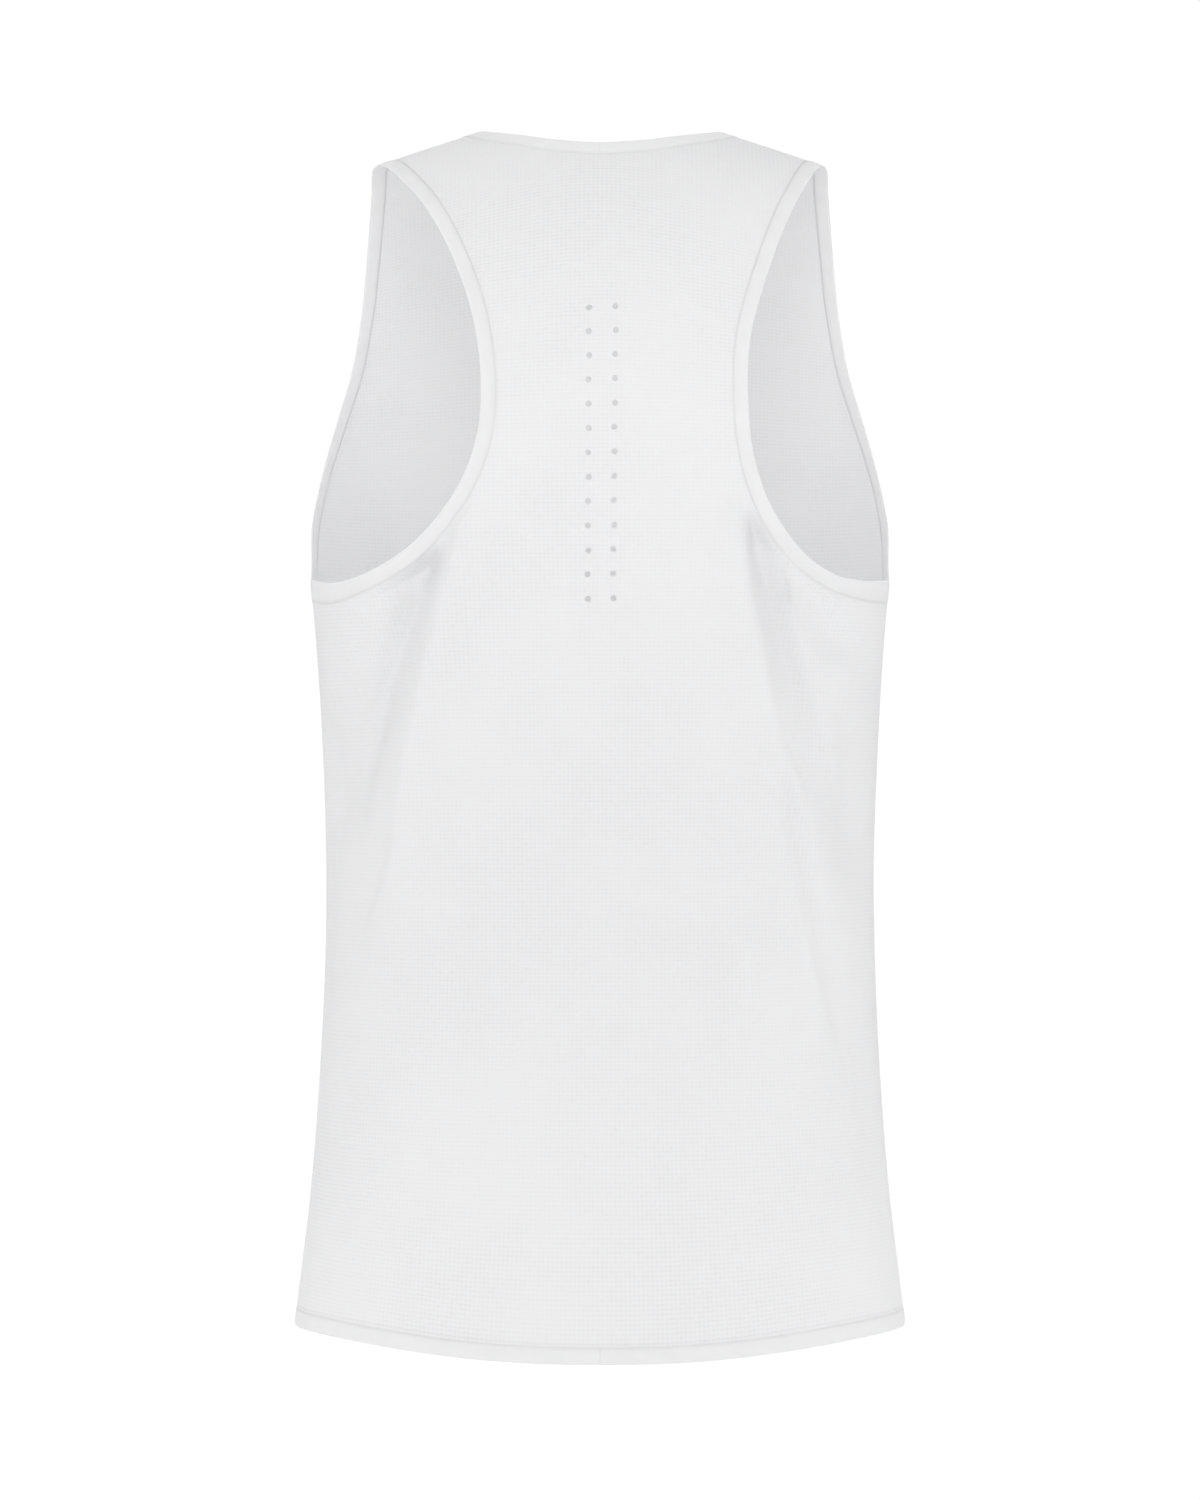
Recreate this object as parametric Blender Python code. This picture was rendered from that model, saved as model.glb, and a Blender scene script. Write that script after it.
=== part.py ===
"""A running singlet with a racer back, filled out and hollow, as its wearer holds it.

Frame: metres, +Z up. The front faces -Y, the back +Y and the wearer's left is +X. The origin lies midway
between the tops of the two shoulder straps, where the wearer's shoulders hold the garment up.

All the cloth lies on one hollow form. The form is made of level sections, from a short table, and closes over
the shoulders in an arch. A place on it is given by its face (back or front) and two lengths in metres:
"around", from the centre line towards the side seam, and "rise", up the cloth.
"""
import math

import bpy
import numpy as np

# Driving sizes
WALL = 0.0014               # thickness of the cloth wall
SEAM = 0.0003               # clearance between two pieces at a seam
NECK_BAND = 0.0100          # width of the neck band
HEM_BAND = 0.0100           # width of the hem band
ARM_BAND_EDGE = 0.0088      # width of an armhole band beside the racer back and on the chest
ARM_BAND_UNDER = 0.0130     # width of an armhole band under the arm
ARM_BAND_GROWS = (0.45, 0.80)   # it widens between these shares of the way from the centre line to the side
ARM_BAND_FALL = 0.050       # and over this fall below the arch of the shoulder

BACK = 1
FRONT = -1
LEFT = 1
RIGHT = -1

# Level sections of the form, from the hem up: the last one serves everything above it.
SECTION_COLUMNS = ("height", "half_width", "back_depth", "front_depth")
SECTIONS = (
    (-0.700, 0.1790, 0.1040, 0.1080),
    (-0.665, 0.1752, 0.1105, 0.1130),
    (-0.610, 0.1685, 0.1125, 0.1150),
    (-0.530, 0.1622, 0.1075, 0.1130),
    (-0.435, 0.1590, 0.1050, 0.1140),
    (-0.345, 0.1612, 0.1105, 0.1210),
    (-0.260, 0.1668, 0.1175, 0.1275),
    (-0.215, 0.1716, 0.1195, 0.1280),
    (-0.175, 0.1728, 0.1200, 0.1270),
)
GIRTH_SQUARENESS = 2.4      # exponent of a level section; 2 is an ellipse
GIRTH_RADIUS = 0.150        # length of "around" for one radian of turn
SIDE = GIRTH_RADIUS * math.pi / 2

# The arch over the shoulders: where it starts on each face, and the ridge it closes to
CROWN_BASE = {BACK: -0.175, FRONT: -0.215}
CROWN_SQUARENESS = {BACK: 2.1, FRONT: 2.0}
RIDGE_PEAK = 0.0393         # height that the two shoulder slopes run up to
RIDGE_SLOPE = 0.355         # fall of the shoulder for each unit of width
RIDGE_ROUNDING = 0.045      # softens the meeting of the two slopes at the neck
CROWN_HEIGHT = {face: 0.010 - CROWN_BASE[face] for face in (BACK, FRONT)}
RIDGE_RISE = {face: CROWN_BASE[face] + CROWN_HEIGHT[face] * math.pi / 2 for face in (BACK, FRONT)}

# Openings: the edge of the cloth, as distance from the centre line and height
SHOULDER_TIP = 0.131        # armhole edge on the shoulder ridge
ARMPIT = -0.2494            # armhole edge at the side seam
BACK_ARMHOLE = {
    LEFT: (
        (0.1652, -0.2502),
        (0.1600, -0.2520),
        (0.150, -0.2530),
        (0.131, -0.2475),
        (0.110, -0.2355),
        (0.091, -0.2170),
        (0.0765, -0.1945),
        (0.0685, -0.1700),
        (0.0667, -0.1440),
        (0.0717, -0.1043),
        (0.0828, -0.0715),
        (0.0964, -0.0445),
        (0.1148, -0.0207),
    ),
    RIGHT: (
        (0.1652, -0.2506),
        (0.1600, -0.2514),
        (0.150, -0.2520),
        (0.133, -0.2490),
        (0.119, -0.2410),
        (0.106, -0.2272),
        (0.0955, -0.2105),
        (0.0868, -0.1860),
        (0.0829, -0.1510),
        (0.0845, -0.1163),
        (0.0892, -0.0965),
        (0.0974, -0.0710),
        (0.1053, -0.0502),
        (0.1175, -0.0255),
    ),
}
FRONT_ARMHOLE = (
    (0.1686, -0.2380),
    (0.1692, -0.2245),
    (0.1669, -0.2010),
    (0.1620, -0.1770),
    (0.1555, -0.1520),
    (0.1485, -0.1274),
    (0.1420, -0.0920),
    (0.1381, -0.0580),
    (0.1346, -0.0268),
)
NECK_CORNER = 0.070         # neck edge on the shoulder ridge
BACK_NECK = (
    (0.000, -0.0024),
    (0.024, -0.0006),
    (0.045, 0.0032),
    (0.062, 0.0068),
)
FRONT_NECK = (
    (0.000, -0.0740),
    (0.028, -0.0682),
    (0.050, -0.0512),
    (0.063, -0.0290),
    (0.069, -0.0085),
)
HEM_SIDE = -0.6794          # hem edge at the side seams
HEM_DROP = {BACK: 0.0129, FRONT: 0.0070}
HEM_DROP_POWER = 4.5

# Grid of a panel: how many steps it has along each of its edges
SIDE_STEPS = 20
ARMHOLE_STEPS = {BACK: 28, FRONT: 24}
SHOULDER_STEPS = 4
NECK_STEPS = {BACK: 24, FRONT: 22}
TOP_BLEND = 0.55            # share of the grid's height from which its columns turn to the neck's steps
HEM_BLEND = 0.45            # and below which they turn to the hem's

# Steps of the curves the edges are cut from, and of a fold's line
EDGE_STEPS = 400
FOLD_STEPS = 32
SLOPE_STEP = 0.0001         # length over which the form's slope is taken

# Main folds of the cloth, seen on the face: points of the fold's line (distance from the centre line, positive
# on the wearer's left, and height), its breadth towards the centre line and away from it, and its height,
# negative for a trough.
FOLD_COLUMNS = ("line", "inner", "outer", "height")
FOLDS = {
    BACK: (
        (((0.0855, -0.228), (0.1055, -0.262), (0.134, -0.329), (0.153, -0.394)), 0.0110, 0.0190, -0.0066),
        (((0.0726, -0.196), (0.0925, -0.287), (0.109, -0.371), (0.129, -0.470)), 0.0170, 0.0100, 0.0040),
        (((0.112, -0.388), (0.137, -0.442), (0.147, -0.480)), 0.0090, 0.0120, -0.0022),
        (((-0.077, -0.200), (-0.0873, -0.292), (-0.1025, -0.362), (-0.112, -0.398)), 0.0170, 0.0095, 0.0038),
        (((-0.0825, -0.209), (-0.0985, -0.273), (-0.1185, -0.329), (-0.130, -0.362)), 0.0100, 0.0130, -0.0056),
        (((-0.106, -0.250), (-0.1188, -0.306), (-0.141, -0.385)), 0.0080, 0.0080, 0.0022),
        (((-0.1085, -0.247), (-0.139, -0.292), (-0.154, -0.308)), 0.0090, 0.0100, -0.0042),
        (((-0.096, -0.332), (-0.1262, -0.461), (-0.1516, -0.558)), 0.0080, 0.0080, -0.0014),
        (((-0.1017, -0.340), (-0.1297, -0.450), (-0.1457, -0.513)), 0.0080, 0.0110, 0.0022),
        (((-0.1385, -0.358), (-0.1495, -0.398), (-0.1575, -0.446)), 0.0100, 0.0090, -0.0028),
        (((0.115, -0.425), (0.117, -0.484), (0.113, -0.560)), 0.0140, 0.0140, -0.0020),
        (((0.060, -0.396), (0.063, -0.488), (0.055, -0.605)), 0.0150, 0.0150, -0.0017),
        (((-0.094, -0.385), (-0.100, -0.461), (-0.113, -0.545)), 0.0140, 0.0140, -0.0019),
        (((0.082, -0.400), (0.083, -0.488), (0.079, -0.590)), 0.0140, 0.0140, 0.0015),
        (((-0.072, -0.395), (-0.079, -0.488), (-0.081, -0.585)), 0.0150, 0.0150, 0.0015),
    ),
    FRONT: (
        (((0.146, -0.236), (0.130, -0.270), (0.118, -0.320), (0.116, -0.390)), 0.0090, 0.0130, -0.0046),
        (((0.132, -0.232), (0.114, -0.275), (0.104, -0.330), (0.103, -0.410)), 0.0130, 0.0090, 0.0024),
        (((-0.148, -0.240), (-0.134, -0.268), (-0.124, -0.315), (-0.126, -0.400)), 0.0090, 0.0130, -0.0042),
        (((-0.134, -0.238), (-0.119, -0.278), (-0.110, -0.335), (-0.112, -0.425)), 0.0130, 0.0090, 0.0023),
        (((0.052, -0.385), (0.058, -0.490), (0.050, -0.620)), 0.0160, 0.0160, -0.0019),
        (((-0.068, -0.400), (-0.062, -0.510), (-0.070, -0.630)), 0.0160, 0.0160, -0.0018),
        (((-0.006, -0.360), (0.004, -0.480), (-0.008, -0.610)), 0.0200, 0.0200, 0.0015),
    ),
}
FOLD_RUN_IN = 0.15          # share of a fold's length in which it comes up
FOLD_RUN_OUT = 0.45         # share of its length in which it dies out
FOLD_FADE = 0.030           # folds die out where the form is this close to the side seam or the shoulder
BAND_SLACK = 0.30           # share of a fold that is left in the taut armhole bands
SLACK_RUN = 0.010           # distance past a band over which the folds come up to the rest


def column(name):
    """One named column of the table of sections."""
    return np.array([row[SECTION_COLUMNS.index(name)] for row in SECTIONS])


def smooth_line(stations, values, at):
    """Smooth curve through the values at rising stations (cubic Hermite)."""
    stations = np.asarray(stations, float)
    values = np.asarray(values, float)
    slopes = np.gradient(values, stations, axis=0)
    at = np.clip(at, stations[0], stations[-1])
    left = np.clip(np.searchsorted(stations, at) - 1, 0, len(stations) - 2)
    span = stations[left + 1] - stations[left]
    share = (at - stations[left]) / span
    if values.ndim > 1:
        span = span[:, None]
        share = share[:, None]
    rising = share * share * (3 - 2 * share)
    lead = share * (1 - share) ** 2
    trail = -share * share * (1 - share)
    return (values[left] * (1 - rising) + values[left + 1] * rising
            + span * (slopes[left] * lead + slopes[left + 1] * trail))


def smooth_step(share):
    """Rise from 0 to 1 that starts and ends level."""
    share = np.clip(share, 0, 1)
    return share * share * (3 - 2 * share)


def ring(angle, squareness):
    """Unit superellipse: how far across and along it a ray at this angle meets it."""
    across = np.sin(angle)
    along = np.cos(angle)
    reach = (np.abs(across) ** squareness + np.abs(along) ** squareness) ** (-1 / squareness)
    return across * reach, along * reach


def ridge_height(x):
    """Height of the shoulder ridge at a distance from the centre line."""
    return RIDGE_PEAK - RIDGE_SLOPE * np.sqrt(x * x + RIDGE_ROUNDING ** 2)


def form(face, around, rise):
    """Points of the bare form."""
    around = np.asarray(around, float)
    rise = np.asarray(rise, float)
    base = CROWN_BASE[face]
    level = np.minimum(rise, base)
    lift = (rise - level) / CROWN_HEIGHT[face]
    up, out = ring(lift, CROWN_SQUARENESS[face])
    across, along = ring(around / GIRTH_RADIUS, GIRTH_SQUARENESS)
    heights = column("height")
    half_width = smooth_line(heights, column("half_width"), level)
    depth = smooth_line(heights, column("back_depth" if face == BACK else "front_depth"), level)
    x = half_width * across
    y = face * depth * along * out
    z = level + (ridge_height(x) - base) * up
    return np.stack([x, y, z], axis=-1)


def slopes_of_form(face, around, rise):
    """How the form runs with "around" and with "rise"."""
    step = SLOPE_STEP
    run_around = (form(face, around + step, rise) - form(face, around - step, rise)) / (2 * step)
    run_rise = (form(face, around, rise + step) - form(face, around, rise - step)) / (2 * step)
    return run_around, run_rise


def outward(face, around, rise):
    """Unit normals of the form, pointing away from the wearer."""
    run_around, run_rise = slopes_of_form(face, around, rise)
    normal = np.cross(run_rise, run_around) * face
    return normal / np.linalg.norm(normal, axis=-1, keepdims=True)


def place(face, x, z):
    """The place on the form, as around and rise, of the point seen on a face at x and z."""
    base = CROWN_BASE[face]
    half_width = smooth_line(column("height"), column("half_width"), np.array([min(z, base)]))[0]
    across = min(abs(x) / half_width, 1.0)
    along = (1 - across ** GIRTH_SQUARENESS) ** (1 / GIRTH_SQUARENESS)
    around = math.copysign(GIRTH_RADIUS * math.atan2(across, along), x)
    if z <= base:
        return around, z
    power = CROWN_SQUARENESS[face]
    up = min((z - base) / (ridge_height(x) - base), 1.0)
    lift = math.atan2(up, (1 - up ** power) ** (1 / power))
    return around, base + CROWN_HEIGHT[face] * lift


def walk(face, chart, heading, distance):
    """Places on the form that lie a distance from the given ones, along headings in space."""
    run_around, run_rise = slopes_of_form(face, chart[:, 0], chart[:, 1])
    step = heading * distance[:, None]
    aa = (run_around * run_around).sum(1)
    ar = (run_around * run_rise).sum(1)
    rr = (run_rise * run_rise).sum(1)
    a = (run_around * step).sum(1)
    r = (run_rise * step).sum(1)
    area = aa * rr - ar * ar
    return chart + np.stack([(a * rr - r * ar) / area, (r * aa - a * ar) / area], axis=1)


def even_run(face, points, before, after, steps):
    """Smooth line on the form through the given places, cut into even steps."""
    points = np.array([before, *points, after])
    stations = np.concatenate([[0], np.cumsum(np.linalg.norm(np.diff(points, axis=0), axis=1))])
    fine = smooth_line(stations, points, np.linspace(stations[1], stations[-2], EDGE_STEPS))
    space = form(face, fine[:, 0], fine[:, 1])
    lengths = np.concatenate([[0], np.cumsum(np.linalg.norm(np.diff(space, axis=0), axis=1))])
    cuts = np.linspace(0, lengths[-1], steps + 1)
    return np.stack([np.interp(cuts, lengths, fine[:, axis]) for axis in (0, 1)], axis=1)


def over_ridge(face, other, place_on_other):
    """A place just past the shoulder ridge, in the lengths of the face it is seen from."""
    around, rise = place_on_other
    return around, RIDGE_RISE[face] + (RIDGE_RISE[other] - rise)


def past_side(side, place_on_other):
    """A place just past the side seam, in the lengths of the face it is seen from."""
    around, rise = place_on_other
    return side * 2 * SIDE - around, rise


def armhole_edge(face, side, steps):
    """Cloth edge of one armhole on one face, from the side seam up to the shoulder."""
    rows = {BACK: BACK_ARMHOLE[side], FRONT: FRONT_ARMHOLE}
    seen = {each: [place(each, side * x, z) for x, z in rows[each]] for each in rows}
    tip_around = place(face, side * SHOULDER_TIP, CROWN_BASE[face])[0]
    points = [(side * SIDE, ARMPIT), *seen[face], (tip_around, RIDGE_RISE[face])]
    before = past_side(side, seen[-face][0])
    after = over_ridge(face, -face, seen[-face][-1])
    return even_run(face, points, before, after, steps)


def neck_edge(face):
    """Cloth edge of the neck on one face, from the right shoulder to the left."""
    rows = {BACK: BACK_NECK, FRONT: FRONT_NECK}
    seen = {each: [place(each, x, z) for x, z in rows[each]] for each in rows}
    corner = (place(face, NECK_CORNER, CROWN_BASE[face])[0], RIDGE_RISE[face])
    half = [*seen[face][1:], corner]
    mirrored = [(-around, rise) for around, rise in reversed(half)]
    after = over_ridge(face, -face, seen[-face][-1])
    before = (-after[0], after[1])
    return even_run(face, [*mirrored, seen[face][0], *half], before, after, NECK_STEPS[face])


def hem_edge(face, around):
    """Cloth edge of the hem on one face, at the given lengths from the centre line."""
    along = ring(around / GIRTH_RADIUS, GIRTH_SQUARENESS)[1]
    return np.stack([around, HEM_SIDE - HEM_DROP[face] * np.abs(along) ** HEM_DROP_POWER], axis=1)


def away_from_opening(face, chart, turn_sign, mates):
    """Unit headings on the cloth, square to an opening's edge and away from the opening."""
    points = form(face, chart[:, 0], chart[:, 1])
    ahead = np.vstack([points[1:], mates[1]])
    behind = np.vstack([mates[0], points[:-1]])
    heading = np.cross(ahead - behind, outward(face, chart[:, 0], chart[:, 1])) * turn_sign
    return heading / np.linalg.norm(heading, axis=1, keepdims=True)


def arm_band_width(chart):
    """Width of an armhole band, wider under the arm."""
    start, end = ARM_BAND_GROWS
    near_side = np.clip((np.abs(chart[:, 0]) / SIDE - start) / (end - start), 0, 1)
    under = np.clip((CROWN_BASE[BACK] - chart[:, 1]) / ARM_BAND_FALL, 0, 1)
    return ARM_BAND_EDGE + (ARM_BAND_UNDER - ARM_BAND_EDGE) * smooth_step(near_side * under)


def slack(face, points):
    """Share of a fold's height that the cloth takes at each point: less in the taut armhole bands."""
    edges = np.vstack([armhole_edge(face, side, EDGE_STEPS) for side in (LEFT, RIGHT)])
    away = np.linalg.norm(points[:, None] - form(face, *edges.T)[None], axis=2)
    nearest = away.argmin(axis=1)
    past = away[np.arange(len(points)), nearest] - arm_band_width(edges)[nearest]
    return BAND_SLACK + (1 - BAND_SLACK) * smooth_step(past / SLACK_RUN)


def fold_shape(seen, fold):
    """Height of one fold at points seen on its face."""
    line, inner, outer, height = (fold[FOLD_COLUMNS.index(name)] for name in FOLD_COLUMNS)
    line = np.array(line)
    stations = np.concatenate([[0], np.cumsum(np.linalg.norm(np.diff(line, axis=0), axis=1))])
    shares = np.linspace(0, 1, FOLD_STEPS + 1)
    line = smooth_line(stations, line, shares * stations[-1])
    away = np.linalg.norm(seen[:, None] - line[None], axis=2)
    nearest = away.argmin(axis=1)
    inside = np.abs(seen[:, 0]) < np.abs(line[nearest, 0])
    breadth = np.where(inside, inner, outer)
    strength = smooth_step(shares / FOLD_RUN_IN) * smooth_step((1 - shares) / FOLD_RUN_OUT)
    return height * strength[nearest] * np.exp(-(away.min(axis=1) / breadth) ** 2)


def fold_height(face, points):
    """How far the folds move the cloth out of the form."""
    flat = points.reshape(-1, 3)
    moved = sum(fold_shape(flat[:, [0, 2]], fold) for fold in FOLDS[face])
    fade = smooth_step(np.abs(flat[:, 1]) / FOLD_FADE)
    return (moved * fade * slack(face, flat)).reshape(points.shape[:-1])


def skin(face, around, rise):
    """Outer and inner points of the cloth."""
    bare = form(face, around, rise)
    normal = outward(face, around, rise)
    outer = bare + normal * fold_height(face, bare)[..., None]
    return outer, outer - normal * WALL


def arm_offset(side, distance_past_band=0.0, share=1.0):
    """Both faces' armhole lines moved into the cloth by a share of the band's width."""
    edges = {face: armhole_edge(face, side, ARMHOLE_STEPS[face]) for face in (BACK, FRONT)}
    spots = {face: form(face, edges[face][:, 0], edges[face][:, 1]) for face in edges}
    moved = {}
    for face, chart in edges.items():
        mates = (spots[-face][1], spots[-face][-2])
        heading = away_from_opening(face, chart, side * face, mates)
        distance = arm_band_width(chart) * share + distance_past_band
        line = walk(face, chart, heading, distance)
        line[0, 0] = side * SIDE
        line[-1, 1] = RIDGE_RISE[face]
        moved[face] = line
    return moved


def neck_offset(distance):
    """Both faces' neck lines moved into the cloth."""
    edges = {face: neck_edge(face) for face in (BACK, FRONT)}
    spots = {face: form(face, edges[face][:, 0], edges[face][:, 1]) for face in edges}
    moved = {}
    for face, chart in edges.items():
        mates = (spots[-face][1], spots[-face][-2])
        heading = away_from_opening(face, chart, -face, mates)
        line = walk(face, chart, heading, np.full(len(chart), distance))
        line[[0, -1], 1] = RIDGE_RISE[face]
        moved[face] = line
    return moved


def panel_grid(face):
    """Places of a panel's grid, rows from the hem up and columns from right to left."""
    lines = {side: arm_offset(side, SEAM)[face] for side in (RIGHT, LEFT)}
    neck = neck_offset(NECK_BAND + SEAM)[face]
    shoulder = {}
    for side in (RIGHT, LEFT):
        neck_end = neck[0 if side == RIGHT else -1]
        tip = lines[side][-1]
        shoulder[side] = np.linspace(tip, neck_end, SHOULDER_STEPS + 1)
    top = np.vstack([shoulder[RIGHT][:-1], neck, shoulder[LEFT][::-1][1:]])
    columns = len(top)
    share = np.linspace(0, 1, columns)
    centre_share = np.abs(2 * share - 1)

    side_limit = SIDE - SEAM * 0.6
    bottom_around = np.linspace(-side_limit, side_limit, columns)
    bottom = hem_edge(face, bottom_around)
    bottom[:, 1] += HEM_BAND + SEAM

    edges = {}
    for side in (RIGHT, LEFT):
        low = bottom[0 if side == RIGHT else -1]
        armpit = lines[side][0].copy()
        armpit[0] = side * side_limit
        seam_line = np.linspace(low, armpit, SIDE_STEPS + 1)
        edges[side] = np.vstack([seam_line[:-1], [armpit], lines[side][1:]])
    rows = len(edges[LEFT])
    climb = np.linspace(0, 1, rows)
    middle = columns // 2
    centre_rise = bottom[middle, 1] + (top[middle, 1] - bottom[middle, 1]) * climb

    around = edges[RIGHT][:, 0:1] * (1 - share) + edges[LEFT][:, 0:1] * share
    edge_rise = edges[RIGHT][:, 1:2] * (1 - share) + edges[LEFT][:, 1:2] * share
    rise = centre_rise[:, None] + (edge_rise - centre_rise[:, None]) * centre_share ** 2
    near_top = (np.clip((climb - TOP_BLEND) / (1 - TOP_BLEND), 0, 1) ** 2)[:, None]
    near_hem = (np.clip(1 - climb / HEM_BLEND, 0, 1) ** 2)[:, None]
    around = around + near_top * (top[:, 0] - around[-1]) + near_hem * (bottom[:, 0] - around[0])
    rise = rise + near_top * (top[:, 1] - rise[-1]) + near_hem * (bottom[:, 1] - rise[0])
    rise[-1, :SHOULDER_STEPS + 1] -= SEAM
    rise[-1, -SHOULDER_STEPS - 1:] -= SEAM
    return around, rise


def material(name, colour, roughness):
    """Plain finish of one kind of cloth."""
    made = bpy.data.materials.new(name)
    made.use_nodes = True
    shader = made.node_tree.nodes["Principled BSDF"]
    shader.inputs["Base Color"].default_value = (*colour, 1)
    shader.inputs["Roughness"].default_value = roughness
    shader.inputs["Metallic"].default_value = 0.0
    return made


def add_object(name, points, faces, finish):
    """One closed body from points and faces."""
    mesh = bpy.data.meshes.new(name)
    mesh.from_pydata([tuple(point) for point in points], [], faces)
    mesh.materials.append(finish)
    mesh.shade_smooth()
    mesh.set_sharp_from_angle(angle=math.radians(40))
    made = bpy.data.objects.new(name, mesh)
    bpy.context.scene.collection.objects.link(made)
    return made


def add_panel(name, face, finish):
    """One panel: two grids a wall apart, closed along the rim."""
    around, rise = panel_grid(face)
    outer, inner = skin(face, around, rise)
    rows, columns = around.shape
    index = np.arange(rows * columns).reshape(rows, columns)
    below = rows * columns
    faces = []
    for row in range(rows - 1):
        for step in range(columns - 1):
            corner = [index[row, step], index[row, step + 1],
                      index[row + 1, step + 1], index[row + 1, step]]
            if face == BACK:
                corner.reverse()
            faces.append([int(i) for i in corner])
            faces.append([int(i) + below for i in reversed(corner)])
    rim = [*index[0, :], *index[1:, -1], *index[-1, -2::-1], *index[-2:0:-1, 0]]
    for here, there in zip(rim, rim[1:] + rim[:1]):
        side_face = [there, here, here + below, there + below]
        if face == BACK:
            side_face.reverse()
        faces.append([int(i) for i in side_face])
    points = np.vstack([outer.reshape(-1, 3), inner.reshape(-1, 3)])
    return add_object(name, points, faces, finish)


def add_ring(name, sections, finish, flip):
    """A closed band: each section is a loop of points, and the sections join in a ring."""
    count, size = sections.shape[:2]
    faces = []
    for here in range(count):
        there = (here + 1) % count
        for point in range(size):
            after = (point + 1) % size
            corner = [here * size + point, here * size + after, there * size + after, there * size + point]
            if flip:
                corner.reverse()
            faces.append(corner)
    return add_object(name, sections.reshape(-1, 3), faces, finish)


def band_sections(face, lines):
    """Sections of a band on one face, from its lines across the width."""
    outer = []
    inner = []
    for line in lines:
        over, under = skin(face, line[:, 0], line[:, 1])
        outer.append(over)
        inner.append(under)
    return np.stack(outer + inner[::-1], axis=1)


def add_arm_band(name, side, finish):
    """Band round one armhole, from the side seam up the back, over the shoulder and down the chest."""
    offsets = [arm_offset(side, share=share) for share in (0.0, 0.5, 1.0)]
    back = band_sections(BACK, [offset[BACK] for offset in offsets])
    front = band_sections(FRONT, [offset[FRONT] for offset in offsets])
    sections = np.vstack([back, front[-2:0:-1]])
    return add_ring(name, sections, finish, flip=side == RIGHT)


def add_neck_band(name, finish):
    """Band round the neck."""
    offsets = [neck_offset(distance) for distance in (0.0, NECK_BAND / 2, NECK_BAND)]
    back = band_sections(BACK, [offset[BACK] for offset in offsets])
    front = band_sections(FRONT, [offset[FRONT] for offset in offsets])
    sections = np.vstack([back, front[-2:0:-1]])
    return add_ring(name, sections, finish, flip=True)


def add_hem_band(name, finish):
    """Band round the hem."""
    faces = {}
    for face in (BACK, FRONT):
        steps = 2 * SHOULDER_STEPS + NECK_STEPS[face]
        edge = hem_edge(face, np.linspace(-SIDE, SIDE, steps + 1))
        lines = [edge + np.array([0.0, HEM_BAND * share]) for share in (0.0, 0.5, 1.0)]
        faces[face] = band_sections(face, lines)
    sections = np.vstack([faces[BACK], faces[FRONT][-2:0:-1]])
    return add_ring(name, sections, finish, flip=False)


def build():
    """Clear the scene and make every piece."""
    for old in list(bpy.data.objects):
        bpy.data.objects.remove(old, do_unlink=True)
    mesh_knit = material("micro_mesh_knit", (0.84, 0.84, 0.85), 0.75)
    smooth_knit = material("smooth_bonded_knit", (0.87, 0.87, 0.88), 0.65)
    add_panel("back_panel", BACK, mesh_knit)
    add_panel("front_panel", FRONT, mesh_knit)
    add_neck_band("neck_band", smooth_knit)
    add_arm_band("armhole_band_left", LEFT, smooth_knit)
    add_arm_band("armhole_band_right", RIGHT, smooth_knit)
    add_hem_band("hem_band", smooth_knit)


build()
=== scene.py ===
"""Visual model of a white racer-back running singlet, worn and hollow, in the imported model's own frame.

Metres, +Z up, front -Y, back +Y, the wearer's left +X. The origin is between the tops of the shoulder straps.
The cloth lies on the same hollow form as the solids: level sections that close over the shoulders in an arch.
A place on it is a face (back or front) and two lengths: "around", from the centre line towards the side seam,
and "rise", up the cloth.
"""
import math

import bpy
import numpy as np
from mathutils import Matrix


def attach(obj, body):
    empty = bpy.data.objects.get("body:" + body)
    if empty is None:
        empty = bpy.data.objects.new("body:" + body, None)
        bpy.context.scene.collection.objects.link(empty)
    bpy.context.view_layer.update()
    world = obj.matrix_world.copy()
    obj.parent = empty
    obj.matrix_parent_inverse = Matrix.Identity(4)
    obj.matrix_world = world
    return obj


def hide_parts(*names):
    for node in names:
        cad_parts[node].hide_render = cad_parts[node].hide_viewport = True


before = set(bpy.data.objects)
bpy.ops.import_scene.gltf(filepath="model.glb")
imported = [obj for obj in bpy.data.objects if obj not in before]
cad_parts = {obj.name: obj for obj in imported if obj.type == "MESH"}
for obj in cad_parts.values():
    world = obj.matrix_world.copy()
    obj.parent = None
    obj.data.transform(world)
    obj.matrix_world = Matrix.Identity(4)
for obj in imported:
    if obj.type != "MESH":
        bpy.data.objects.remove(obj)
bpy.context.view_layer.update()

BACK, FRONT = 1, -1
LEFT, RIGHT = 1, -1
MM = 0.001

# ---------------- the form, with the solids' own sizes
NECK_BAND = 0.0100
HEM_BAND = 0.0100
ARM_BAND_EDGE = 0.0088
ARM_BAND_UNDER = 0.0130
SECTION_COLUMNS = ("height", "half_width", "back_depth", "front_depth")
SECTIONS = (
    (-0.700, 0.1790, 0.1040, 0.1080),
    (-0.665, 0.1752, 0.1105, 0.1130),
    (-0.610, 0.1685, 0.1125, 0.1150),
    (-0.530, 0.1622, 0.1075, 0.1130),
    (-0.435, 0.1590, 0.1050, 0.1140),
    (-0.345, 0.1612, 0.1105, 0.1210),
    (-0.260, 0.1668, 0.1175, 0.1275),
    (-0.215, 0.1716, 0.1195, 0.1280),
    (-0.175, 0.1728, 0.1200, 0.1270),
)
GIRTH_SQUARENESS = 2.4
GIRTH_RADIUS = 0.150
SIDE = GIRTH_RADIUS * math.pi / 2   # "around" at the side seams
CROWN_BASE = {BACK: -0.175, FRONT: -0.215}
CROWN_TOP = 0.010
CROWN_SQUARENESS = {BACK: 2.1, FRONT: 2.0}
RIDGE_PEAK = 0.0393
RIDGE_SLOPE = 0.355
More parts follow.
